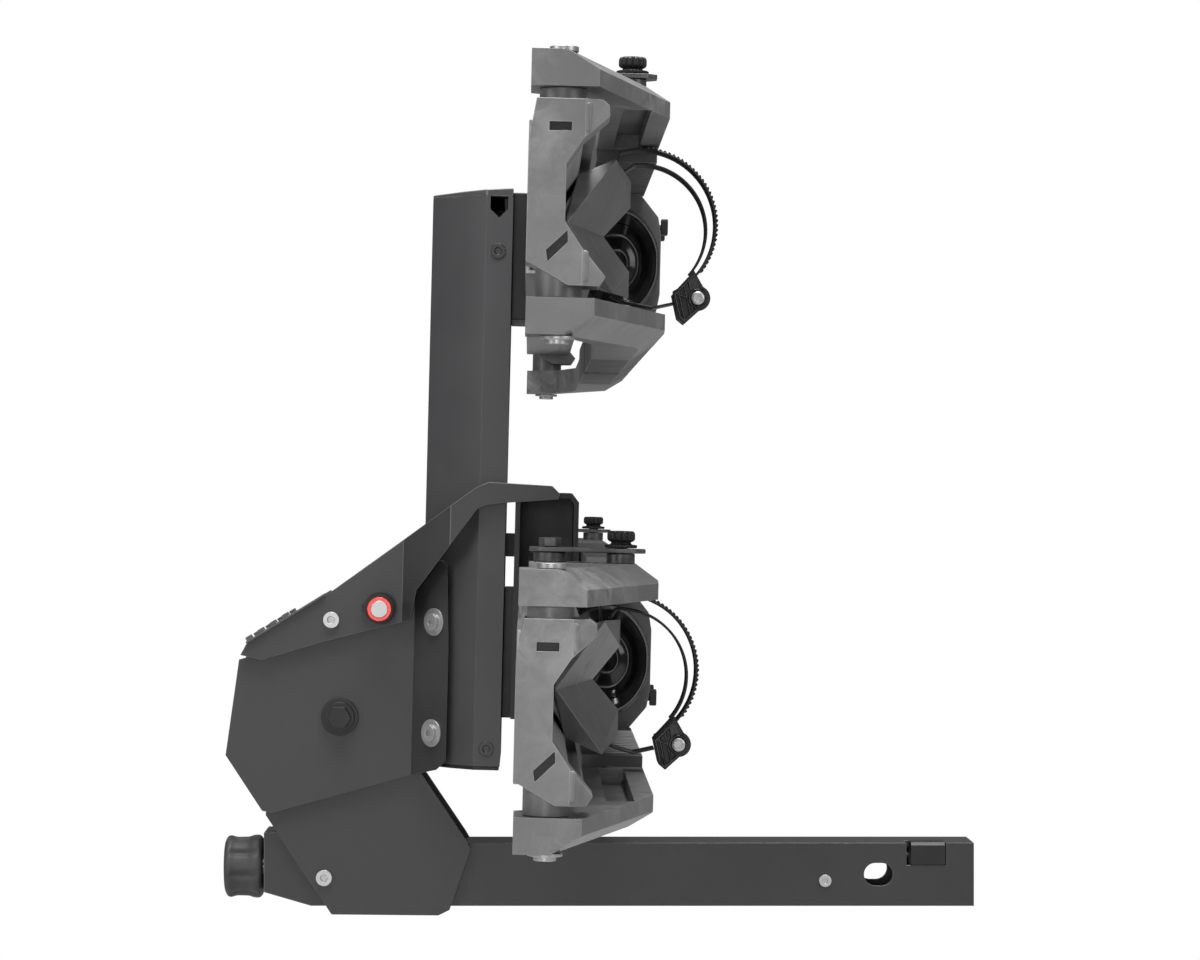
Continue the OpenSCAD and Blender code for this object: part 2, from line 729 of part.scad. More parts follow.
// The rails carry on from the arms and meet in the bridge
module hoop_bridge(level, far) {
    color([0.3, 0.3, 0.31]) at_tray(level) at_end(far) union() {
        top_and_bottom() difference() {
            translate([rail_u, -arm_step, rail_in])
                cube([arm_edge - rail_u, arm_step - hoop_gap, arm_out - rail_in]);
            arm_chamfers();
            for (i = [0:14]) translate([rail_u - 1, -arm_step + 20 + i * 16, rail_in - 1])
                cube([arm_edge - rail_u + 2, 6, 2.2]);
        }
        y_plate([[rail_u, -rail_in - 1], [arm_edge - 4, -rail_in - 1], [arm_edge + 11.5, -38],
            [arm_edge + 14, -24], [arm_edge + 14, 24], [arm_edge + 11.5, 38],
            [arm_edge - 4, rail_in + 1], [rail_u, rail_in + 1]], -plate_y, -hoop_gap);
    }
}

module bridge_ln() {
    hoop_bridge(0, 0);
}

module bridge_lf() {
    hoop_bridge(0, 1);
}

module bridge_un() {
    hoop_bridge(1, 0);
}

module bridge_uf() {
    hoop_bridge(1, 1);
}

// The tyre pad lies on the bridge, and a small catch stands on its edge
module tyre_pad(level, far) {
    catch = level == 1 ? 24 : -37;
    color([0.04, 0.04, 0.04]) at_tray(level) at_end(far) union() {
        y_plate([[rail_u - 8, -44], [rail_u + 33, -44], [arm_edge + 2, -24], [arm_edge + 13.5, -18],
            [arm_edge + 13.5, 18], [arm_edge + 2, 24], [rail_u + 33, 44], [rail_u - 8, 44]],
            -plate_y - 8, -plate_y);
        for (side = [-1, 1])
            y_plate([[rail_u - 8, side * 44], [rail_u + 33, side * 44], [arm_edge + 2, side * 24],
                [arm_edge - 8, side * 17], [rail_u + 26, side * 30], [rail_u - 8, side * 34]],
                -plate_y - 16, -plate_y - 7.9);
        translate([arm_edge + 14, -plate_y + 3, catch]) cube([5.5, 12, 13]);
    }
}

module pad_ln() {
    tyre_pad(0, 0);
}

module pad_lf() {
    tyre_pad(0, 1);
}

module pad_un() {
    tyre_pad(1, 0);
}

module pad_uf() {
    tyre_pad(1, 1);
}

// The link is a flat bar on two spacers, one at the pivot and one under the hand knob
module hoop_link(level, far) {
    reach = grip_u - hinge_u;
    stand = link_rise - slide_fit;
    head = link_z + link_t + slide_fit;
    color([0.25, 0.25, 0.26]) at_tray(level) at_end(far) union() {
        translate([hinge_u, -grip_y, arm_out]) spacer(22, 8 + 2 * slide_fit, stand);
        translate([grip_u, -grip_y, arm_out]) spacer(grip_d, 8 + 2 * slide_fit, stand);
    }
    color([0.25, 0.25, 0.26]) at_tray(level) at_end(far)
        translate([hinge_u, -grip_y, link_z]) difference() {
            linear_extrude(link_t) polygon([[-14, -6], [-7, -13], [8, -13], [reach - 8, -11],
                [reach + 10, -11], [reach + 16.5, -5], [reach + 16.5, 5], [reach + 10, 11],
                [reach - 8, 11], [8, 13], [-7, 13], [-14, 6]]);
            translate([0, 0, -1]) cylinder(d = 8 + 2 * slide_fit, h = link_t + 2);
            translate([reach, 0, -1]) cylinder(d = 8 + 2 * slide_fit, h = link_t + 2);
        }
    color([0.25, 0.25, 0.26]) at_tray(level) at_end(far) translate([hinge_u, -grip_y, 0]) union() {
        translate([0, 0, arm_out - 10]) cylinder(d = 8, h = head - arm_out + 11);
        translate([0, 0, head]) cylinder(d = 15.5, h = 6, $fn = 6);
    }
}

module spacer(outside, bore, h) {
    difference() {
        cylinder(d = outside, h = h);
        translate([0, 0, -1]) cylinder(d = bore, h = h + 2);
    }
}

module link_ln() {
    hoop_link(0, 0);
}

module link_lf() {
    hoop_link(0, 1);
}

module link_un() {
    hoop_link(1, 0);
}

module link_uf() {
    hoop_link(1, 1);
}

module hand_grip(level, far) {
    seat = link_z + link_t + slide_fit;
    color([0.08, 0.08, 0.08]) at_tray(level) at_end(far) translate([grip_u, -grip_y, 0]) union() {
        translate([0, 0, arm_out - 10]) cylinder(d = 8, h = seat - arm_out + 11);
        translate([0, 0, seat]) cylinder(d = grip_d + 3, h = 2.4);
        translate([0, 0, seat + 2.3]) cylinder(d = 13, h = 1.8);
        difference() {
            translate([0, 0, seat + 4]) cylinder(d = grip_d, h = 7.6);
            for (turn = [0:60:300]) rotate([0, 0, turn])
                translate([grip_d / 2 + 1, 0, seat + 3]) cylinder(d = 5, h = 10);
        }
    }
}

module grip_ln() {
    hand_grip(0, 0);
}

module grip_lf() {
    hand_grip(0, 1);
}

module grip_un() {
    hand_grip(1, 0);
}

module grip_uf() {
    hand_grip(1, 1);
}

// One side of the V of the cradle: it rises inwards and outwards from the crease
module cradle_side() {
    low = beam_floor + 4;
    high = tray_u0 + 54.5;
    foot = beam_floor + 0.2;
    hull() {
        translate([low - 1, -cradle_out, 0]) cube([1, 1, 1]);
        translate([high - 1, -cradle_in - 27, 0]) cube([1, 1, 1]);
        translate([tray_u0 + 59, -cradle_out + 33, cradle_half - 1]) cube([1, 1, 1]);
        translate([tray_u0 + 73, -cradle_in - 1, cradle_half - 5]) cube([1, 1, 1]);
        translate([tray_u0 + 73, -cradle_in - 1, 23]) cube([1, 1, 1]);
        translate([beam_top + 0.2, -cradle_out + 22, 33]) cube([1, 1, 1]);
        translate([beam_top + 0.2, -cradle_in - 30, 33]) cube([1, 1, 1]);
        translate([foot, -cradle_in - 30, 0]) cube([1, 1, 1]);
        translate([foot, -cradle_out + 4, 0]) cube([1, 1, 1]);
    }
}

module cradles() {
    color([0.4, 0.4, 0.41]) for (level = [0, 1]) for (far = [0, 1])
        at_tray(level) at_end(far) union() {
            top_and_bottom() cradle_side();
        }
}

// Points along an arc in the X-Z plane, about a centre
function arc_line(r, centre, a0, a1) =
    [for (i = [0:24]) let (a = a0 + (a1 - a0) * i / 24) centre + r * [cos(a), sin(a)]];

// A band of even thickness on the left of a line of points
function band(line, t) = let (n = len(line) - 1) concat(line, [for (i = [n:-1:0])
    let (d = line[min(i + 1, n)] - line[max(i - 1, 0)]) line[i] + t * [-d[1], d[0]] / norm(d)]);

module strap(line) {
    color([0.05, 0.05, 0.05])
        y_plate(band(line, strap_t), -strap_y - strap_w / 2, -strap_y + strap_w / 2);
}

// The toothed strap runs through the buckle, the smooth one lies inside it
module straps(level) {
    u = tray_u0 + buckle_shift(level);
    outer = [u + 80, 8];
    inner_r = strap_r - 6.5;
    at_tray(level) union() {
        strap(concat(arc_line(strap_r, outer, -62, 108), [[tray_u0 + 58, 42.3]]));
        color([0.05, 0.05, 0.05]) translate([outer[0], -strap_y, outer[1]])
            for (i = [0:strap_teeth - 1]) rotate([0, 34 - i * 121 / strap_teeth, 0])
                translate([strap_r - 0.4, -strap_w / 2 + 3, -0.9]) cube([1.9, strap_w - 6, 1.8]);
    }
    at_tray(level) strap(concat(arc_line(inner_r, [u + 80, 4], -40, 96), [[tray_u0 + 64.5, 44.5]]));
    at_tray(level) strap([[u + 104.7, -46.5], [u + 90, -50], [tray_u0 + 71, -46.5], [tray_u0 + 60, -41.7]]);
}

module straps_lower() {
    straps(0);
}

module straps_upper() {
    straps(1);
}

function buckle_shift(level) = level == 1 ? 0 : -6;

// Two cheeks and a base; the strap passes between the cheeks
module buckle(level) {
    u = tray_u0 + buckle_shift(level);
    side = strap_w / 2 + 3.5;
    inside = strap_w / 2 + slide_fit;
    color([0.05, 0.05, 0.05]) at_tray(level) difference() {
        union() {
            y_plate([[u + 119, -24], [u + 129, -41], [u + 129, -47], [u + 113, -62], [u + 108, -58],
                [u + 104, -41]], -strap_y - side, -strap_y + side);
            translate([u + latch_u, 0, latch_v]) y_rod(18, -strap_y - side, -strap_y - inside);
        }
        y_plate([[u + 100, -18], [u + 100, -43], [u + 109, -43], [u + 112, -57], [u + 140, -57],
            [u + 140, -18]], -strap_y - inside, -strap_y + inside);
        translate([u + latch_u, 0, latch_v])
            y_rod(latch_d + 2 * run_fit, -strap_y - strap_w, -strap_y + strap_w);
    }
}

module buckle_lower() {
    buckle(0);
}

module buckle_upper() {
    buckle(1);
}

// The ratchet lever turns on a screw through the buckle
module latch(level) {
    u = tray_u0 + buckle_shift(level);
    side = strap_w / 2 + 3.5 + slide_fit;
    inside = strap_w / 2;
    color([0.08, 0.08, 0.08]) at_tray(level) translate([u + latch_u, -strap_y, latch_v]) union() {
        y_rod(latch_d, -side - 1, side + 1);
        both_sides() y_rod(10, -side - 2, -side);
        y_rod(latch_d + 3.4, -inside, inside);
        y_plate([[7.2, -4], [7.2, 2.5], [1.5, 12], [-1, 10], [-2, 3], [0, -4]], -inside, inside);
    }
}

module latch_lower() {
    latch(0);
}

module latch_upper() {
    latch(1);
}

hitch_bar();
end_housing();
lower_brackets();
bracket_bolt();
bar_screw();
pivot_bolt();
pivot_spacer();
wobble_knob();
knob_shaft();
draw_rod();
wedge();
mast_tube();
mast_top_cap();
mast_bottom_cap();
mast_screws();
upper_brackets();
flange_bolts();
lever_bolt();
lever_plates();
lever_tread();
lock_collar();
lock_pin();
lock_ring();
tray_pads();
tray_saddle();
beam_lower();
beam_upper();
end_castings();
pivot_tubes();
tray_bolts();
cradles();
arms_ln();
arms_lf();
arms_un();
arms_uf();
bridge_ln();
bridge_lf();
bridge_un();
bridge_uf();
pad_ln();
pad_lf();
pad_un();
pad_uf();
link_ln();
link_lf();
link_un();
link_uf();
grip_ln();
grip_lf();
grip_un();
grip_uf();
straps_lower();
straps_upper();
buckle_lower();
buckle_upper();
latch_lower();
latch_upper();
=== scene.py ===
import math

import bpy
import numpy as np
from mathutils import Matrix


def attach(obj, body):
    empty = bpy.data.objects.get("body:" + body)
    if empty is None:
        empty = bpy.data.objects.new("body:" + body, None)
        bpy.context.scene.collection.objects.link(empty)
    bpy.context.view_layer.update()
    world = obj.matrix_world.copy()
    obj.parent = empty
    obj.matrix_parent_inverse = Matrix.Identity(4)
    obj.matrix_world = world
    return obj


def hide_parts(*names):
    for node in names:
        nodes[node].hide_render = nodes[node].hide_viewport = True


# metres: x runs along the hitch bar to the vehicle, y along the trays away from the camera, z up
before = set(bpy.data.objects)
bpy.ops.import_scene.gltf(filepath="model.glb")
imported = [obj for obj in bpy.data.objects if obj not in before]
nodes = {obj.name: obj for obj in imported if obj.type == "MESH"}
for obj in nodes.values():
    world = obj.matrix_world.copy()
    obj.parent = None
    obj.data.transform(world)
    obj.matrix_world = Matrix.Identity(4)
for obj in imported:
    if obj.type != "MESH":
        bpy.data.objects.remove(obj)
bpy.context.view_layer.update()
print("rack loaded with", len(nodes), "solids")

# the camera stands level beside the near end of the trays
cameraView = {
    "place": (-0.282, -2.825, 0.315),
    "focalPixels": 3470.0,
    "vanishX": 529.0,
    "vanishY": 484.0,
    "imageWidth": 1200.0,
    "imageHeight": 960.0,
    "sensorWidth": 36.0,
}


def makeCamera(view):
    data = bpy.data.cameras.new("sideCamera")
    data.sensor_width = view["sensorWidth"]
    data.lens = view["focalPixels"] * view["sensorWidth"] / view["imageWidth"]
    data.shift_x = (view["imageWidth"] / 2 - view["vanishX"]) / view["imageWidth"]
    data.shift_y = (view["vanishY"] - view["imageHeight"] / 2) / view["imageWidth"]
    data.clip_end = 60.0
    camera = bpy.data.objects.new("sideCamera", data)
    camera.location = view["place"]
    camera.rotation_euler = (math.pi / 2, 0.0, 0.0)
    bpy.context.scene.collection.objects.link(camera)
    bpy.context.scene.camera = camera


makeCamera(cameraView)
print("camera placed")


# small helpers for shader trees
def addNode(tree, kind, **settings):
    node = tree.nodes.new(kind)
    for key, value in settings.items():
        setattr(node, key, value)
    return node


def findNode(tree, kind):
    return next(node for node in tree.nodes if node.type == kind)


def blendColours(tree, factor, first, second):
    mix = addNode(tree, "ShaderNodeMix", data_type="RGBA")
    tree.links.new(factor, mix.inputs[0])
    tree.links.new(first, mix.inputs[6])
    tree.links.new(second, mix.inputs[7])
    return mix.outputs[2]


def mapRange(tree, value, low, high, toLow, toHigh):
    node = addNode(tree, "ShaderNodeMapRange")
    tree.links.new(value, node.inputs["Value"])
    for title, amount in (("From Min", low), ("From Max", high), ("To Min", toLow), ("To Max", toHigh)):
        if isinstance(amount, float):
            node.inputs[title].default_value = amount
        else:
            tree.links.new(amount, node.inputs[title])
    return node.outputs[0]


def combine(tree, operation, first, second):
    node = addNode(tree, "ShaderNodeMath", operation=operation)
    tree.links.new(first, node.inputs[0])
    tree.links.new(second, node.inputs[1])
    return node.outputs[0]


# noise in object space: its scale is a number or a socket
def addNoise(tree, vector, scale, **settings):
    noise = addNode(tree, "ShaderNodeTexNoise")
    tree.links.new(vector, noise.inputs["Vector"])
    if isinstance(scale, float):
        noise.inputs["Scale"].default_value = scale
    else:
        tree.links.new(scale, noise.inputs["Scale"])
    for title, value in settings.items():
        noise.inputs[title].default_value = value
    return noise.outputs["Fac"]


# every group takes two colours, its own scales and a range of roughness, which each finish sets
def newGroup(name, scales):
    tree = bpy.data.node_groups.new(name, "ShaderNodeTree")
    inputs = [("Dark", "NodeSocketColor"), ("Light", "NodeSocketColor")]
    inputs += [(title, "NodeSocketFloat") for title in (*scales, "Rough low", "Rough high")]
    for title, kind in inputs:
        tree.interface.new_socket(title, in_out="INPUT", socket_type=kind)
    for title, kind in (("Colour", "Color"), ("Roughness", "Float"), ("Height", "Float")):
        tree.interface.new_socket(title, in_out="OUTPUT", socket_type="NodeSocket" + kind)
    place = addNode(tree, "ShaderNodeTexCoord").outputs["Object"]
    return tree, tree.nodes.new("NodeGroupInput").outputs, place


# the tone picks the colour, and one noise spreads the roughness between its two ends
def closeGroup(tree, start, tone, spread, low, high, height):
    end = tree.nodes.new("NodeGroupOutput")
    rough = mapRange(tree, spread, low, high, start["Rough low"], start["Rough high"])
    tree.links.new(blendColours(tree, tone, start["Dark"], start["Light"]), end.inputs["Colour"])
    tree.links.new(rough, end.inputs["Roughness"])
    tree.links.new(height, end.inputs["Height"])
    return tree


# powder coat: fine orange peel, and clouds that lighten the colour a little
def buildCoatGroup():
    tree, start, place = newGroup("coatGrain", ("Grain scale", "Cloud scale"))
    grain = addNoise(tree, place, start["Grain scale"], Detail=3.0)
    cloud = addNoise(tree, place, start["Cloud scale"], Detail=5.0, Roughness=0.62)
    tone = mapRange(tree, cloud, 0.35, 0.7, 0.0, 0.75)
    speck = mapRange(tree, grain, 0.55, 0.8, 0.0, 0.6)
    both = combine(tree, "MAXIMUM", tone, speck)
    return closeGroup(tree, start, both, cloud, 0.3, 0.7, grain)


# cast surface: broad stains with ragged edges over a fine pitted skin
def buildMottleGroup():
    tree, start, place = newGroup("castMottle", ("Stain scale", "Pit scale"))
    stain = addNoise(tree, place, start["Stain scale"], Detail=8.0, Roughness=0.66, Distortion=0.6)
    pits = addNoise(tree, place, start["Pit scale"])
    patch = addNoise(tree, place, 11.0, Detail=2.0)
    broad = mapRange(tree, patch, 0.35, 0.65, 0.0, 1.0)
    close = mapRange(tree, stain, 0.38, 0.66, 0.0, 1.0)
    both = combine(tree, "MULTIPLY", broad, close)
    return closeGroup(tree, start, both, stain, 0.35, 0.7, pits)


# drawn or turned metal: the coordinates are stretched so that streaks run along one axis
def buildStreakGroup():
    tree, start, place = newGroup("metalStreaks", ("Along X", "Along Y", "Along Z"))
    scales = addNode(tree, "ShaderNodeCombineXYZ")
    for axis in "XYZ":
        tree.links.new(start["Along " + axis], scales.inputs[axis])
    stretch = addNode(tree, "ShaderNodeVectorMath", operation="MULTIPLY")
    tree.links.new(place, stretch.inputs[0])
    tree.links.new(scales.outputs[0], stretch.inputs[1])
    streaks = addNoise(tree, stretch.outputs[0], 1.0, Detail=5.0)
    tone = mapRange(tree, streaks, 0.35, 0.65, 0.0, 1.0)
    return closeGroup(tree, start, tone, streaks, 0.35, 0.65, streaks)


surfaceGroups = {"coat": buildCoatGroup(), "mottle": buildMottleGroup(), "streaks": buildStreakGroup()}
bumpDistance = 0.0004

finishes = {
    "barCoat": {
        "group": "coat",
        "Dark": (0.017, 0.017, 0.018),
        "Light": (0.027, 0.027, 0.028),
        "Grain scale": 1500.0,
        "Cloud scale": 7.0,
        "Rough low": 0.34,
        "Rough high": 0.44,
        "bump": 0.12,
        "metallic": 0.0,
        "specular": 0.4,
    },
    "bracketCoat": {
        "group": "coat",
        "Dark": (0.021, 0.021, 0.022),
        "Light": (0.032, 0.032, 0.033),
        "Grain scale": 1300.0,
        "Cloud scale": 12.0,
        "Rough low": 0.36,
        "Rough high": 0.46,
        "bump": 0.16,
        "metallic": 0.0,
        "specular": 0.4,
    },
    "mastCoat": {
        "group": "coat",
        "Dark": (0.032, 0.032, 0.034),
        "Light": (0.046, 0.046, 0.048),
        "Grain scale": 1500.0,
        "Cloud scale": 6.0,
        "Rough low": 0.36,
        "Rough high": 0.5,
        "bump": 0.1,
        "metallic": 0.15,
        "specular": 0.4,
    },
    "armCast": {
        "group": "mottle",
        "Dark": (0.11, 0.11, 0.112),
        "Light": (0.22, 0.22, 0.222),
        "Stain scale": 70.0,
        "Pit scale": 900.0,
        "Rough low": 0.34,
        "Rough high": 0.5,
        "bump": 0.08,
        "metallic": 0.25,
        "specular": 0.5,
    },
    "endCast": {
        "group": "mottle",
        "Dark": (0.125, 0.125, 0.127),
        "Light": (0.235, 0.235, 0.237),
        "Stain scale": 60.0,
        "Pit scale": 1000.0,
        "Rough low": 0.36,
        "Rough high": 0.52,
        "bump": 0.08,
        "metallic": 0.25,
        "specular": 0.5,
    },
    "cradlePlate": {
        "group": "mottle",
        "Dark": (0.1, 0.1, 0.102),
        "Light": (0.18, 0.18, 0.182),
        "Stain scale": 60.0,
        "Pit scale": 1200.0,
        "Rough low": 0.36,
        "Rough high": 0.5,
        "bump": 0.06,
        "metallic": 0.2,
        "specular": 0.5,
    },
    "railCoat": {
        "group": "coat",
        "Dark": (0.05, 0.05, 0.052),
        "Light": (0.08, 0.08, 0.082),
        "Grain scale": 1100.0,
        "Cloud scale": 20.0,
        "Rough low": 0.38,
        "Rough high": 0.5,
        "bump": 0.12,
        "metallic": 0.1,
        "specular": 0.35,
    },
    "beamAluminium": {
        "group": "streaks",
        "Dark": (0.2, 0.2, 0.203),
        "Light": (0.3, 0.3, 0.302),
        "Along X": 700.0,
        "Along Y": 6.0,
        "Along Z": 700.0,
        "Rough low": 0.3,
        "Rough high": 0.42,
        "bump": 0.05,
        "metallic": 0.6,
        "specular": 0.5,
    },
    "silverSteel": {
        "group": "streaks",
        "Dark": (0.33, 0.33, 0.33),
        "Light": (0.43, 0.43, 0.43),
        "Along X": 2400.0,
        "Along Y": 300.0,
        "Along Z": 2400.0,
        "Rough low": 0.36,
        "Rough high": 0.42,
        "bump": 0.0,
        "metallic": 0.8,
        "specular": 0.5,
    },
    "darkSteel": {
        "group": "streaks",
        "Dark": (0.008, 0.008, 0.009),
        "Light": (0.016, 0.016, 0.017),
        "Along X": 1500.0,
        "Along Y": 500.0,
        "Along Z": 1500.0,
        "Rough low": 0.22,
        "Rough high": 0.3,
        "bump": 0.01,
        "metallic": 0.3,
        "specular": 0.4,
    },
    "mouldedBlack": {
        "group": "coat",
        "Dark": (0.007, 0.007, 0.008),
        "Light": (0.014, 0.014, 0.015),
        "Grain scale": 1800.0,
        "Cloud scale": 25.0,
        "Rough low": 0.34,
        "Rough high": 0.48,
        "bump": 0.1,
        "metallic": 0.0,
        "specular": 0.3,
    },
    "glossBlack": {
        "group": "coat",
        "Dark": (0.003, 0.003, 0.0032),
        "Light": (0.006, 0.006, 0.0062),
        "Grain scale": 600.0,
        "Cloud scale": 30.0,
        "Rough low": 0.12,
        "Rough high": 0.2,
        "bump": 0.03,
        "metallic": 0.0,
        "specular": 0.4,
    },
    "softRubber": {
        "group": "coat",
        "Dark": (0.03, 0.03, 0.031),
        "Light": (0.054, 0.054, 0.055),
        "Grain scale": 2200.0,
        "Cloud scale": 40.0,
        "Rough low": 0.5,
        "Rough high": 0.66,
        "bump": 0.2,
        "metallic": 0.0,
        "specular": 0.3,
    },
    # a lighter copy of the coats, a painted highlight for their broken edges
    "coatEdgeHighlight": {
        "group": "coat",
        "Dark": (0.06, 0.06, 0.062),
        "Light": (0.1, 0.1, 0.102),
        "Grain scale": 1500.0,
        "Cloud scale": 14.0,
        "Rough low": 0.3,
        "Rough high": 0.4,
        "bump": 0.08,
        "metallic": 0.0,
        "specular": 0.6,
    },
    # a lighter copy of the castings, a painted highlight for their broken edges
    "castEdgeHighlight": {
        "group": "mottle",
        "Dark": (0.2, 0.2, 0.202),
        "Light": (0.33, 0.33, 0.332),
        "Stain scale": 60.0,
        "Pit scale": 900.0,
        "Rough low": 0.3,
        "Rough high": 0.42,
        "bump": 0.05,
        "metallic": 0.25,
        "specular": 0.5,
    },
    "linkPlate": {
        "group": "streaks",
        "Dark": (0.06, 0.06, 0.062),
        "Light": (0.1, 0.1, 0.102),
        "Along X": 120.0,
        "Along Y": 300.0,
        "Along Z": 300.0,
        "Rough low": 0.3,
        "Rough high": 0.42,
        "bump": 0.03,
        "metallic": 0.4,
        "specular": 0.4,
    },
    "redAnodised": {
        "group": "streaks",
        "Dark": (0.5, 0.02, 0.012),
        "Light": (0.72, 0.04, 0.028),
        "Along X": 300.0,
        "Along Y": 900.0,
        "Along Z": 300.0,
        "Rough low": 0.22,
        "Rough high": 0.34,
        "bump": 0.04,
        "metallic": 0.15,
        "specular": 0.5,
    },
}


# a material takes its surface from a shared group and keeps the shader's own settings
def makeFinish(name, settings):
    material = bpy.data.materials.new(name)
    material.use_nodes = True
    tree = material.node_tree
    shader = findNode(tree, "BSDF_PRINCIPLED")
    surface = addNode(tree, "ShaderNodeGroup", node_tree=surfaceGroups[settings["group"]])
    for title, value in settings.items():
        if title in surface.inputs:
            surface.inputs[title].default_value = (*value, 1.0) if isinstance(value, tuple) else value
    bump = addNode(tree, "ShaderNodeBump")
    bump.inputs["Strength"].default_value = settings["bump"]
    bump.inputs["Distance"].default_value = bumpDistance
    tree.links.new(surface.outputs["Height"], bump.inputs["Height"])
    tree.links.new(surface.outputs["Colour"], shader.inputs["Base Color"])
    tree.links.new(surface.outputs["Roughness"], shader.inputs["Roughness"])
    tree.links.new(bump.outputs["Normal"], shader.inputs["Normal"])
    shader.inputs["Metallic"].default_value = settings["metallic"]
    shader.inputs["Specular IOR Level"].default_value = settings["specular"]
    return material


materials = {name: makeFinish(name, settings) for name, settings in finishes.items()}
print("finishes made:", len(materials))

# l and u are the lower and upper tray, n and f its near and far end
hoopCorners = ("ln", "lf", "un", "uf")
trays = ("lower", "upper")

# which finish each solid wears, and how wide its broken edges are in metres
solidFinish = {
    "hitch_bar": ("barCoat", 0.0016),
    "end_housing": ("barCoat", 0.0012),
    "lower_brackets": ("bracketCoat", 0.0010),
    "bracket_bolt": ("silverSteel", 0.0003),
    "bar_screw": ("silverSteel", 0.0003),
    "pivot_bolt": ("mouldedBlack", 0.0006),
    "pivot_spacer": ("darkSteel", 0.0005),
    "knob_shaft": ("silverSteel", 0.0004),
    "draw_rod": ("silverSteel", 0.0005),
    "wedge": ("mouldedBlack", 0.0010),
    "mast_tube": ("mastCoat", 0.0008),
    "mast_top_cap": ("mastCoat", 0.0008),
    "mast_bottom_cap": ("mouldedBlack", 0.0006),
    "mast_screws": ("darkSteel", 0.0004),
    "upper_brackets": ("bracketCoat", 0.0018),
    "flange_bolts": ("silverSteel", 0.0003),
    "lever_bolt": ("silverSteel", 0.0003),
    "lever_plates": ("bracketCoat", 0.0024),
    "lever_tread": ("railCoat", 0.0005),
    "lock_collar": ("mouldedBlack", 0.0008),
    "lock_pin": ("silverSteel", 0.0003),
    "lock_ring": ("redAnodised", 0.0004),
    "tray_pads": ("mouldedBlack", 0.0010),
    "tray_saddle": ("mouldedBlack", 0.0008),
    "beam_lower": ("beamAluminium", 0.0006),
    "beam_upper": ("beamAluminium", 0.0006),
    "end_castings": ("endCast", 0.0012),
    "pivot_tubes": ("armCast", 0.0006),
    "tray_bolts": ("silverSteel", 0.0003),
    "cradles": ("cradlePlate", 0.0010),
}
cornerFinish = {
    "arms": ("armCast", 0.0016),
    "bridge": ("railCoat", 0.0012),
    "link": ("linkPlate", 0.0006),
}
for part, choice in cornerFinish.items():
    for corner in hoopCorners:
        solidFinish[part + "_" + corner] = choice
for tray in trays:
    solidFinish["buckle_" + tray] = ("mouldedBlack", 0.0008)
    solidFinish["latch_" + tray] = ("mouldedBlack", 0.0005)

# broken edges of coated and cast pieces are a little lighter than their faces: a painted highlight where a
# lamp would catch the edge
edgeHighlightFinish = {
    "barCoat": "coatEdgeHighlight",
    "bracketCoat": "coatEdgeHighlight",
    "mastCoat": "coatEdgeHighlight",
    "railCoat": "coatEdgeHighlight",
    "armCast": "castEdgeHighlight",
    "endCast": "castEdgeHighlight",
    "cradlePlate": "castEdgeHighlight",
}
edgeWork = {
    "weldReach": 0.00001,
    "flatAngle": math.radians(1.0),
    "bevelAngle": math.radians(19.0),
    "bevelSegments": 2,
    "normalWeight": 90,
}


# each broken edge takes the second finish, a lighter painted highlight on coated and cast pieces, and the
# faces stay flat in their shading
def dressSolid(name, finish, edge):
    solid = nodes[name]
    solid.data.materials.clear()
    solid.data.materials.append(materials[finish])
    solid.data.materials.append(materials[edgeHighlightFinish.get(finish, finish)])
    solid.data.polygons.foreach_set("use_smooth", np.ones(len(solid.data.polygons), bool))
    weld = solid.modifiers.new("weld", "WELD")
    weld.merge_threshold = edgeWork["weldReach"]
    flats = solid.modifiers.new("flats", "DECIMATE")
    flats.decimate_type = "DISSOLVE"
    flats.angle_limit = edgeWork["flatAngle"]
    bevel = solid.modifiers.new("brokenEdge", "BEVEL")
    bevel.width = edge
    bevel.segments = edgeWork["bevelSegments"]
    bevel.limit_method = "ANGLE"
    bevel.angle_limit = edgeWork["bevelAngle"]
    bevel.material = 1
    normals = solid.modifiers.new("flatNormals", "WEIGHTED_NORMAL")
    normals.mode = "FACE_AREA"
    normals.weight = edgeWork["normalWeight"]


for name, (finish, edge) in solidFinish.items():
    dressSolid(name, finish, edge)
print("solids dressed:", len(solidFinish))

# new pieces are surfaces worked out on grids of points, placed from the main pivot and the leaning mast
mastFrame = {"pivotX": -0.434, "pivotZ": 0.128, "lean": math.radians(1.4)}
trayLevel = {"l": 0.0519, "u": 0.3692}


def farSign(corner):
    return 1.0 if corner[1] == "f" else -1.0


# angles once round, for rings that close on themselves
def roundAngles(count):
    return np.linspace(0.0, 2 * math.pi, count, endpoint=False)


# 0 below the start and 1 above it, with a ramp of the given width between them
def ramp(value, start, width):
    return np.clip((value - start) / width, 0.0, 1.0)


# a point of the mast's own frame: along points from the mast to the hoops, up runs along the mast
def mastPoint(along, side, up):
    sine, cosine = math.sin(mastFrame["lean"]), math.cos(mastFrame["lean"])
    along, side, up = np.broadcast_arrays(along, side, up)
    x = mastFrame["pivotX"] + along * cosine + up * sine
    z = mastFrame["pivotZ"] - along * sine + up * cosine
    return np.stack([x, side, z], axis=-1)


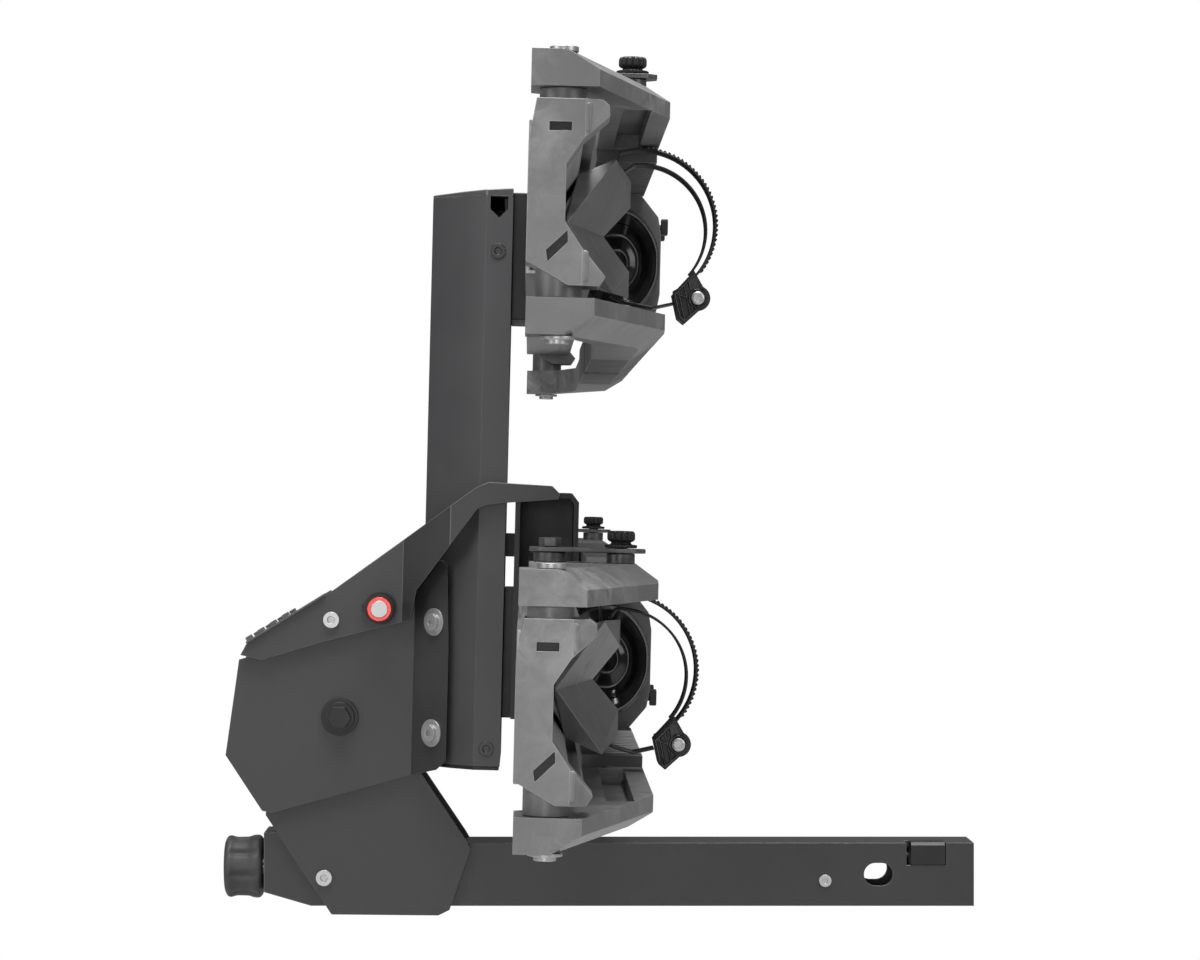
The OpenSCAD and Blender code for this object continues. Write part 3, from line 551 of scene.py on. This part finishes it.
# rings: rows of points that each close on themselves, with a centre point to shut both ends
def makeTube(name, rings, finish, body, sharp):
    rows, columns, _ = rings.shape
    points = np.concatenate([rings.reshape(-1, 3), rings[0].mean(0)[None], rings[-1].mean(0)[None]])
    here = np.arange(rows * columns).reshape(rows, columns)
    after = np.roll(here, -1, axis=1)
    quads = np.stack([here[:-1], after[:-1], after[1:], here[1:]], axis=-1).reshape(-1, 4)
    first = np.stack([after[0], here[0], np.full(columns, rows * columns)], axis=-1)
    last = np.stack([here[-1], after[-1], np.full(columns, rows * columns + 1)], axis=-1)
    triangles = np.concatenate([quads[:, [0, 1, 2]], quads[:, [0, 2, 3]], first, last])
    a, b, c = (points[triangles[:, k]] for k in range(3))
    turn = slice(None, None, -1) if np.einsum("ij,ij->i", a, np.cross(b, c)).sum() < 0 else slice(None)
    mesh = bpy.data.meshes.new(name)
    faces = quads[:, turn].tolist() + first[:, turn].tolist() + last[:, turn].tolist()
    mesh.from_pydata(points.tolist(), [], faces)
    mesh.polygons.foreach_set("use_smooth", np.ones(len(mesh.polygons), bool))
    mesh.set_sharp_from_angle(angle=math.radians(sharp))
    mesh.materials.append(materials[finish])
    piece = bpy.data.objects.new(name, mesh)
    bpy.context.scene.collection.objects.link(piece)
    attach(piece, body)
    return piece


# a soft corner between straight runs of a profile: each corner becomes a short arc of points
def roundProfile(corners, radius, steps):
    corners = np.array(corners, float)
    line = [corners[0]]
    for before, corner, after in zip(corners[:-2], corners[1:-1], corners[2:]):
        inward, outward = before - corner, after - corner
        reach = min(radius, np.linalg.norm(inward) * 0.45, np.linalg.norm(outward) * 0.45)
        start = corner + inward / np.linalg.norm(inward) * reach
        end = corner + outward / np.linalg.norm(outward) * reach
        t = np.linspace(0.0, 1.0, steps)[:, None]
        line.extend((1 - t) ** 2 * start + 2 * t * (1 - t) * corner + t**2 * end)
    line.append(corners[-1])
    return np.array(line)


clampKnob = {
    "faceX": -0.498,
    "axisZ": 0.004,
    "radius": 0.0255,
    "length": 0.031,
    "lobes": 8,
    "lobeTurn": 0.2,
    "fluteDepth": 0.0022,
    "waistStart": 0.003,
    "waistLength": 0.024,
    "corner": 0.0022,
    "finish": "softRubber",
}


# radius(t, angle) = profile(t) - flute depth * waist(t) * (cosine lobe to the fourth power)
def makeClampKnob(look):
    r, length = look["radius"], look["length"]
    outline = roundProfile(
        [
            (0.0066, 0.0004),
            (r - 0.0028, 0.0),
            (r, 0.0026),
            (r, 0.0072),
            (r - 0.0016, 0.0115),
            (r - 0.0018, 0.0215),
            (r - 0.0003, 0.0262),
            (r - 0.0012, length - 0.0022),
            (r - 0.0052, length),
            (0.004, length + 0.0002),
        ],
        look["corner"],
        7,
    )
    angle = roundAngles(256)
    across, depth = outline[:, :1], outline[:, 1:]
    middle = ramp(depth, look["waistStart"], look["waistLength"])
    waist = np.clip(np.sin(middle * math.pi), 0.0, 1.0) ** 0.5
    lobe = (0.5 + 0.5 * np.cos(look["lobes"] * (angle + look["lobeTurn"])))[None, :] ** 4
    radius = across - look["fluteDepth"] * waist * lobe * (across > r * 0.6)
    x = np.broadcast_to(look["faceX"] - depth, radius.shape)
    z = look["axisZ"] + radius * np.cos(angle)
    rings = np.stack([x, radius * np.sin(angle), z], axis=-1)
    knob = makeTube("clampKnobRubber", rings, look["finish"], "wobble", 50.0)
    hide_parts("wobble_knob")


makeClampKnob(clampKnob)
print("clamp knob made")

handKnob = {
    "along": 0.210,
    "side": 0.500,
    "seat": 0.0973,
    "flutes": 12,
    "fluteDepth": 0.0012,
    "rimTeeth": 28,
    "toothDepth": 0.0006,
    "profile": [
        (0.0010, -0.0203),
        (0.0040, -0.0199),
        (0.0040, 0.0),
        (0.0108, 0.0002),
        (0.0110, 0.0022),
        (0.0072, 0.0026),
        (0.0064, 0.0040),
        (0.0082, 0.0045),
        (0.0095, 0.0058),
        (0.0095, 0.0098),
        (0.0084, 0.0115),
        (0.0030, 0.0116),
        (0.0006, 0.0112),
    ],
    "corner": 0.0007,
    "finish": "mouldedBlack",
}


# a turned profile of radius and height above the seat: flutes grow on the cap, small teeth on the rim
def makeHandKnob(corner, look):
    outline = roundProfile(look["profile"], look["corner"], 4)
    angle = roundAngles(168)
    across, height = outline[:, :1], outline[:, 1:]
    cap = ramp(height, 0.0042, 0.001) * ramp(across, 0.006, 0.002)
    flute = (0.5 + 0.5 * np.cos(look["flutes"] * angle))[None, :] ** 3
    rim = (1.0 - ramp(np.abs(height - 0.0012), 0.0, 0.0014)) * (across > 0.009)
    teeth = (0.5 + 0.5 * np.cos(look["rimTeeth"] * angle))[None, :]
    radius = across - look["fluteDepth"] * cap * flute - look["toothDepth"] * rim * teeth
    rings = mastPoint(
        look["along"] + radius * np.cos(angle),
        farSign(corner) * look["side"] + radius * np.sin(angle),
        trayLevel[corner[0]] + look["seat"] + height,
    )
    knob = makeTube("handKnob_" + corner, rings, look["finish"], "knob_" + corner, 40.0)
    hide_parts("grip_" + corner)


for corner in hoopCorners:
    makeHandKnob(corner, handKnob)
print("hand knobs made")

strapLook = {
    "centreAlong": 0.222,
    "lowerShift": -0.006,
    "toothedUp": 0.008,
    "toothedRadius": 0.0545,
    "toothedArc": (-62.0, 108.0),
    "toothedEnd": (0.200, 0.0423),
    "toothedRun": (0.024, 0.145),
    "smoothUp": 0.004,
    "smoothRadius": 0.048,
    "smoothArc": (-40.0, 96.0),
    "smoothEnd": (0.2065, 0.0445),
    "tailAtBuckle": [(0.2467, -0.0465), (0.232, -0.050)],
    "tailAtCradle": [(0.213, -0.0465), (0.202, -0.0417)],
    "side": -0.345,
    "width": 0.022,
    "thick": 0.0018,
    "step": 0.00045,
    "toothPitch": 0.0034,
    "toothHeight": 0.0014,
    "finish": "mouldedBlack",
}


# points at even steps along a line, and how far along it each of them lies
def evenLine(points, spacing):
    points = np.array(points, float)
    steps = np.concatenate([[0.0], np.cumsum(np.linalg.norm(np.diff(points, axis=0), axis=1))])
    count = max(int(steps[-1] / spacing), 4)
    places = np.linspace(0.0, steps[-1], count)
    return np.stack([np.interp(places, steps, points[:, k]) for k in range(2)], axis=-1), places


# a rounded band carried along a line: its outer face lifts as a saw wave between the ends of toothRun
def makeBand(name, level, line, look, toothRun):
    line, run = evenLine(line, look["step"])
    ahead = np.gradient(line, axis=0)
    ahead /= np.linalg.norm(ahead, axis=1)[:, None]
    inward = np.stack([-ahead[:, 1], ahead[:, 0]], axis=-1)
    half, thick = look["width"] / 2, look["thick"]
    outside = np.array([-1, -0.97, -0.88, -0.72, -0.7, 0, 0.7, 0.72, 0.88, 0.97, 1])
    edge = np.concatenate([outside, [1, 0.97, 0.88, 0, -0.88, -0.97, -1]])
    rise = np.array([0.7, 0.9, 1, 1, 1, 1, 1, 1, 1, 0.9, 0.7, 0.3, 0.1, 0, 0, 0, 0.1, 0.3])
    bears = (rise == 1) & (np.abs(edge) < 0.71)
    phase = (run / look["toothPitch"]) % 1.0
    saw = np.clip(np.minimum(phase / 0.62, (1.0 - phase) / 0.2), 0.0, 1.0)
    saw *= (run > toothRun[0]) & (run < toothRun[1])
    lift = thick * (1.0 - rise)[None, :] - look["toothHeight"] * saw[:, None] * bears[None, :]
    spot = line[:, None, :] + inward[:, None, :] * lift[:, :, None]
    rings = mastPoint(spot[:, :, 0], look["side"] + half * edge[None, :], level + spot[:, :, 1])
    return makeTube(name, rings, look["finish"], "mast", 32.0)


# an arc from one angle to another, in degrees
def arcLine(centre, radius, start, stop):
    angle = np.radians(np.linspace(start, stop, 90))
    return [(centre[0] + radius * math.cos(a), centre[1] + radius * math.sin(a)) for a in angle]


def makeStraps(tray, look):
    shift = 0.0 if tray == "upper" else look["lowerShift"]
    level = trayLevel[tray[0]]
    along = look["centreAlong"] + shift
    toothed = arcLine((along, look["toothedUp"]), look["toothedRadius"], *look["toothedArc"])
    smooth = arcLine((along, look["smoothUp"]), look["smoothRadius"], *look["smoothArc"])
    tail = [(x + shift, up) for x, up in look["tailAtBuckle"]] + look["tailAtCradle"]
    noTeeth = (0.0, 0.0)
    strap = makeBand("toothedStrap_" + tray, level, toothed + [look["toothedEnd"]], look, look["toothedRun"])
    makeBand("smoothStrap_" + tray, level, smooth + [look["smoothEnd"]], look, noTeeth)
    makeBand("strapTail_" + tray, level, tail, look, noTeeth)
    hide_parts("straps_" + tray)


for tray in trays:
    makeStraps(tray, strapLook)
print("straps made")

tyrePad = {
    "front": -0.056,
    "back": -0.0403,
    "middleAlong": 0.2135,
    "halfAlong": 0.0330,
    "halfUp": 0.0432,
    "squareness": 3.2,
    "narrowing": 0.42,
    "dishDepth": 0.0085,
    "grooves": 2,
    "grooveDepth": 0.0011,
    "finish": "glossBlack",
}


# depth(s) of the dish = dish depth * smooth step near the edge + a few round waves towards the middle
def makeTyrePad(corner, look):
    angle = roundAngles(144)
    power = look["squareness"]
    spread = (np.abs(np.cos(angle)) ** power + np.abs(np.sin(angle)) ** power) ** (-1.0 / power)
    narrow = 1.0 - look["narrowing"] * np.clip(np.cos(angle) * spread, 0.0, 1.0) ** 2
    front, back = look["front"], look["back"]
    dished = np.linspace(0.02, 1.0, 60)
    wave = look["grooveDepth"] * np.cos(dished * look["grooves"] * 2 * math.pi) * (dished < 0.72)
    climb = ramp(dished, 0.55, 0.4)
    dish = look["dishDepth"] * (1.0 - climb**2 * (3 - 2 * climb))
    rows = np.concatenate([dished, [1.012, 1.015, 1.012, 0.6, 0.05]])
    depth = np.concatenate([front + dish + wave, [front + 0.0008, front + 0.003, back, back, back]])
    reach = rows[:, None] * spread[None, :]
    along = look["middleAlong"] + look["halfAlong"] * reach * np.cos(angle)
    up = look["halfUp"] * reach * np.sin(angle) * narrow
    rings = mastPoint(along, -farSign(corner) * depth[:, None], trayLevel[corner[0]] + up)
    pad = makeTube("tyrePad_" + corner, rings, look["finish"], "hoop_" + corner, 50.0)
    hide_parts("pad_" + corner)


padCatch = {
    "along": 0.2485,
    "side": 0.031,
    "up": {"u": 0.0305, "l": -0.0305},
    "halfSide": 0.006,
    "halfUp": 0.0065,
    "squareness": 8,
    "finish": "mouldedBlack",
}


# a small block with rounded corners and edges: its outline is a superellipse
def makePadCatch(corner, look):
    turn = roundAngles(48)
    power = look["squareness"]
    box = (np.abs(np.cos(turn)) ** power + np.abs(np.sin(turn)) ** power) ** (-1 / power)
    steps = np.array([0.0, 0.0004, 0.0014, 0.0044, 0.0052, 0.0055])[:, None]
    size = np.array([0.9, 1.0, 1.0, 1.0, 0.97, 0.86])[:, None]
    rings = mastPoint(
        look["along"] + steps,
        farSign(corner) * look["side"] + look["halfSide"] * size * box * np.cos(turn),
        trayLevel[corner[0]] + look["up"][corner[0]] + look["halfUp"] * size * box * np.sin(turn),
    )
    makeTube("padCatch_" + corner, rings, look["finish"], "hoop_" + corner, 40.0)


for corner in hoopCorners:
    makeTyrePad(corner, tyrePad)
    makePadCatch(corner, padCatch)
print("tyre pads made")

buckleScrew = {
    "along": {"upper": 0.264, "lower": 0.258},
    "side": -0.3618,
    "up": -0.0437,
    "radius": 0.0048,
    "socket": 0.0022,
    "finish": "silverSteel",
}


# a domed head with a six sided socket: the socket wall is a hexagon in polar form
def makeBuckleScrew(tray, look):
    angle = roundAngles(96)
    hexagon = look["socket"] / np.cos((angle % (math.pi / 3)) - math.pi / 6)
    dome = [(1.0, 0.0), (1.0, 0.0006), (0.96, 0.0011), (0.84, 0.0015), (0.62, 0.0018)]
    rings = [(look["radius"] * share + 0 * angle, height) for share, height in dome]
    rings += [(hexagon * 1.04, 0.0018), (hexagon, 0.0016), (hexagon * 0.98, 0.0004)]
    radius = np.array([across for across, _ in rings])
    height = np.array([high for _, high in rings])[:, None]
    points = mastPoint(
        look["along"][tray] + radius * np.cos(angle),
        look["side"] - height,
        trayLevel[tray[0]] + look["up"] + radius * np.sin(angle),
    )
    makeTube("buckleScrew_" + tray, points, look["finish"], "latch_" + tray + "_lever", 30.0)


for tray in trays:
    makeBuckleScrew(tray, buckleScrew)
print("buckle screws made")

# the places and sizes of the buckle's face are in millimetres
buckleFace = {
    "outline": [
        (261.2, -25.6),
        (270.2, -41.3),
        (270.2, -46.6),
        (255.0, -60.9),
        (250.8, -57.2),
        (246.9, -41.0),
    ],
    "centre": (258.5, -43.5),
    "boss": (264.0, -43.7),
    "bossRing": (5.1, 7.0),
    "bossClear": 7.6,
    "side": -359.4,
    "lowerShift": -6.0,
    "ribStart": (246.0, -41.0),
    "ribWay": (17.0, 4.0),
    "ribs": (4.6, 9.4),
    "plateStart": 12.4,
    "crossBar": (0.4, 1.0),
    "ribWidth": 1.3,
    "rimWidth": 1.6,
    "lift": 1.3,
    "finish": "glossBlack",
}


# relief = lift * the highest of rim, ribs, cross bar and boss, each a soft step of its distance
def makeBuckleFace(tray, look):
    shift = 0.0 if tray == "upper" else look["lowerShift"]
    centre = np.array(look["centre"])
    corners = np.array(look["outline"]) - centre
    angle = roundAngles(240)
    ray = np.stack([np.cos(angle), np.sin(angle)], axis=-1)
    edge = np.roll(corners, -1, axis=0) - corners
    normal = np.stack([edge[:, 1], -edge[:, 0]], axis=-1)
    normal /= np.linalg.norm(normal, axis=1)[:, None]
    offset = np.einsum("ij,ij->i", corners, normal)
    normal, offset = normal * np.sign(offset)[:, None], np.abs(offset)
    facing = ray @ normal.T
    reach = np.where(facing > 1e-6, offset / np.maximum(facing, 1e-6), 1e3).min(axis=1)
    rows = np.concatenate([np.linspace(0.01, 1.0, 100), [1.0, 0.05]])
    spot = rows[:, None, None] * (reach[:, None] * ray)[None]
    inset = (offset - spot @ normal.T).min(axis=-1)
    place = spot + centre
    ribWay = np.array(look["ribWay"])
    across = (place - np.array(look["ribStart"])) @ ribWay / np.linalg.norm(ribWay)
    slope, shiftUp = look["crossBar"]
    lines = [np.abs(across - rib) for rib in look["ribs"]]
    lines.append(np.abs(spot[..., 1] + slope * spot[..., 0] + shiftUp))
    relief = np.clip((look["rimWidth"] - inset) / 0.5 + 0.5, 0.0, 1.0)
    for away in lines:
        relief = np.maximum(relief, np.clip((look["ribWidth"] / 2 - away) / 0.4 + 0.5, 0.0, 1.0))
    plate = 0.55 * ramp(across, look["plateStart"], 0.5)
    fromBoss = np.linalg.norm(place - np.array(look["boss"]), axis=-1)
    inner, outer = look["bossRing"]
    ring = (1.0 - ramp(fromBoss, outer - 0.5, 0.5)) * ramp(fromBoss, inner, 0.4)
    nearBoss = np.maximum(plate * 0.6, ring)
    relief = np.where(fromBoss < look["bossClear"], nearBoss, np.maximum(relief, plate))
    relief = relief * ramp(inset, 0.0, 0.35) ** 0.5
    relief[-1] = -0.2
    rings = mastPoint(
        (place[..., 0] + shift) / 1000.0,
        (look["side"] - look["lift"] * relief) / 1000.0,
        trayLevel[tray[0]] + place[..., 1] / 1000.0,
    )
    makeTube("buckleFace_" + tray, rings, look["finish"], "mast", 60.0)


for tray in trays:
    makeBuckleFace(tray, buckleFace)
print("buckle faces made")

castingFold = {
    "along": 0.1778,
    "halfWidth": 0.0026,
    "faceSide": 0.7119,
    "proud": 0.0011,
    "runs": ((0.0362, 0.0550), (-0.0550, -0.0352)),
    "taper": 0.06,
    "finish": "endCast",
}


# section(a) = an ellipse that lies in the fold of the casting, with ends that close to a point
def makeCastingFold(corner, look):
    angle = roundAngles(32)
    t = np.linspace(0.0, 1.0, 24)[:, None]
    size = np.clip(np.minimum(t, 1.0 - t) / look["taper"], 0.05, 1.0) ** 0.5
    for number, (low, high) in enumerate(look["runs"]):
        rings = mastPoint(
            look["along"] + look["halfWidth"] * size * np.cos(angle),
            farSign(corner) * (look["faceSide"] + look["proud"] * size * np.sin(angle)),
            trayLevel[corner[0]] + low + (high - low) * t,
        )
        name = "castingFold_" + corner + str(number)
        makeTube(name, rings, look["finish"], "mast", 60.0)


for corner in hoopCorners:
    makeCastingFold(corner, castingFold)
print("casting folds made")

# outlines and depths of the slots are in millimetres
slotShade = {
    "faceSide": 713.0,
    "straight": [(154.7, 37.4), (168.0, 37.4), (168.0, 42.4), (154.7, 42.4)],
    "slanted": [(167.0, -24.2), (167.4, -30.3), (155.5, -42.2), (154.4, -36.0)],
    "straightDepth": (1.6, 4.4),
    "slantedDepth": (1.2, 3.4),
    "finish": "mouldedBlack",
}


# the slots open into a dark hollow: a matt black plate a little way inside each of them paints its shade
def makeSlotShade(corner, look):
    for slot in ("straight", "slanted"):
        outline = np.array(look[slot]) / 1000.0
        inside = (look["faceSide"] - np.array(look[slot + "Depth"])[:, None]) / 1000.0
        level = trayLevel[corner[0]]
        rings = mastPoint(outline[:, 0], farSign(corner) * inside, level + outline[:, 1])
        makeTube(slot + "SlotShade_" + corner, rings, look["finish"], "mast", 30.0)


for corner in hoopCorners:
    makeSlotShade(corner, slotShade)
print("slot shades made")

stageLook = {
    "floorLevel": -0.30,
    "floorSize": 30.0,
    "floorColour": (0.5, 0.5, 0.5, 1.0),
    "floorRoughness": 0.9,
    "nearWhite": 0.8,
    "fadeNear": 1.1,
    "fadeFar": 1.6,
    "worldColour": (1.0, 1.0, 1.0, 1.0),
    "worldFill": 0.2,
}


# the world is white where the camera sees it, and only a faint fill for the rack
def makeWorld(look):
    world = bpy.data.worlds.new("studio")
    bpy.context.scene.world = world
    world.use_nodes = True
    tree = world.node_tree
    background = findNode(tree, "BACKGROUND")
    background.inputs["Color"].default_value = look["worldColour"]
    path = addNode(tree, "ShaderNodeLightPath").outputs
    seen = combine(tree, "MAXIMUM", path["Is Camera Ray"], path["Is Transmission Ray"])
    strength = mapRange(tree, seen, 0.0, 1.0, look["worldFill"], 1.0)
    tree.links.new(strength, background.inputs["Strength"])


# the floor is pale below the rack and fades to the white of the studio further off
def makeFloorFinish(look):
    material = bpy.data.materials.new("studioFloor")
    material.use_nodes = True
    tree = material.node_tree
    shader = findNode(tree, "BSDF_PRINCIPLED")
    shader.inputs["Base Color"].default_value = look["floorColour"]
    shader.inputs["Roughness"].default_value = look["floorRoughness"]
    place = addNode(tree, "ShaderNodeTexCoord")
    reach = addNode(tree, "ShaderNodeVectorMath", operation="LENGTH")
    tree.links.new(place.outputs["Object"], reach.inputs[0])
    fade = (look["fadeNear"], look["fadeFar"], look["nearWhite"], 1.0)
    white = mapRange(tree, reach.outputs["Value"], *fade)
    path = addNode(tree, "ShaderNodeLightPath")
    mix = addNode(tree, "ShaderNodeMixShader")
    tree.links.new(combine(tree, "MULTIPLY", path.outputs["Is Camera Ray"], white), mix.inputs[0])
    tree.links.new(shader.outputs[0], mix.inputs[1])
    tree.links.new(addNode(tree, "ShaderNodeEmission").outputs[0], mix.inputs[2])
    tree.links.new(mix.outputs[0], findNode(tree, "OUTPUT_MATERIAL").inputs["Surface"])
    return material


def makeFloor(look):
    half, level = look["floorSize"] / 2, look["floorLevel"]
    corners = [(-half, -half, level), (half, -half, level), (half, half, level), (-half, half, level)]
    mesh = bpy.data.meshes.new("studioFloor")
    mesh.from_pydata(corners, [], [(0, 1, 2, 3)])
    mesh.materials.append(makeFloorFinish(look))
    floor = bpy.data.objects.new("studioFloor", mesh)
    bpy.context.scene.collection.objects.link(floor)


lamps = {
    "overhead": {"place": (-0.3, -0.7, 2.7), "aim": (-0.3, -0.2, 0.3), "size": 1.8, "watts": 190.0},
    "leftWall": {"place": (-2.6, -1.8, 1.1), "aim": (-0.4, -0.5, 0.3), "size": 1.4, "watts": 24.0},
    "rightWall": {"place": (2.0, -2.2, 1.2), "aim": (-0.2, -0.5, 0.3), "size": 1.4, "watts": 24.0},
    "frontLow": {"place": (-0.6, -3.6, 0.3), "aim": (-0.3, -0.6, 0.2), "size": 1.0, "watts": 17.0},
}


def makeLamp(name, settings):
    data = bpy.data.lights.new(name, "AREA")
    data.shape = "SQUARE"
    data.size = settings["size"]
    data.energy = settings["watts"]
    lamp = bpy.data.objects.new(name, data)
    lamp.location = settings["place"]
    away = np.array(settings["place"]) - np.array(settings["aim"])
    away /= np.linalg.norm(away)
    lamp.rotation_euler = (math.acos(away[2]), 0.0, math.atan2(away[0], -away[1]))
    bpy.context.scene.collection.objects.link(lamp)


bpy.context.scene.view_settings.view_transform = "Standard"
makeWorld(stageLook)
makeFloor(stageLook)
for name, settings in lamps.items():
    makeLamp(name, settings)
print("stage and lamps ready")
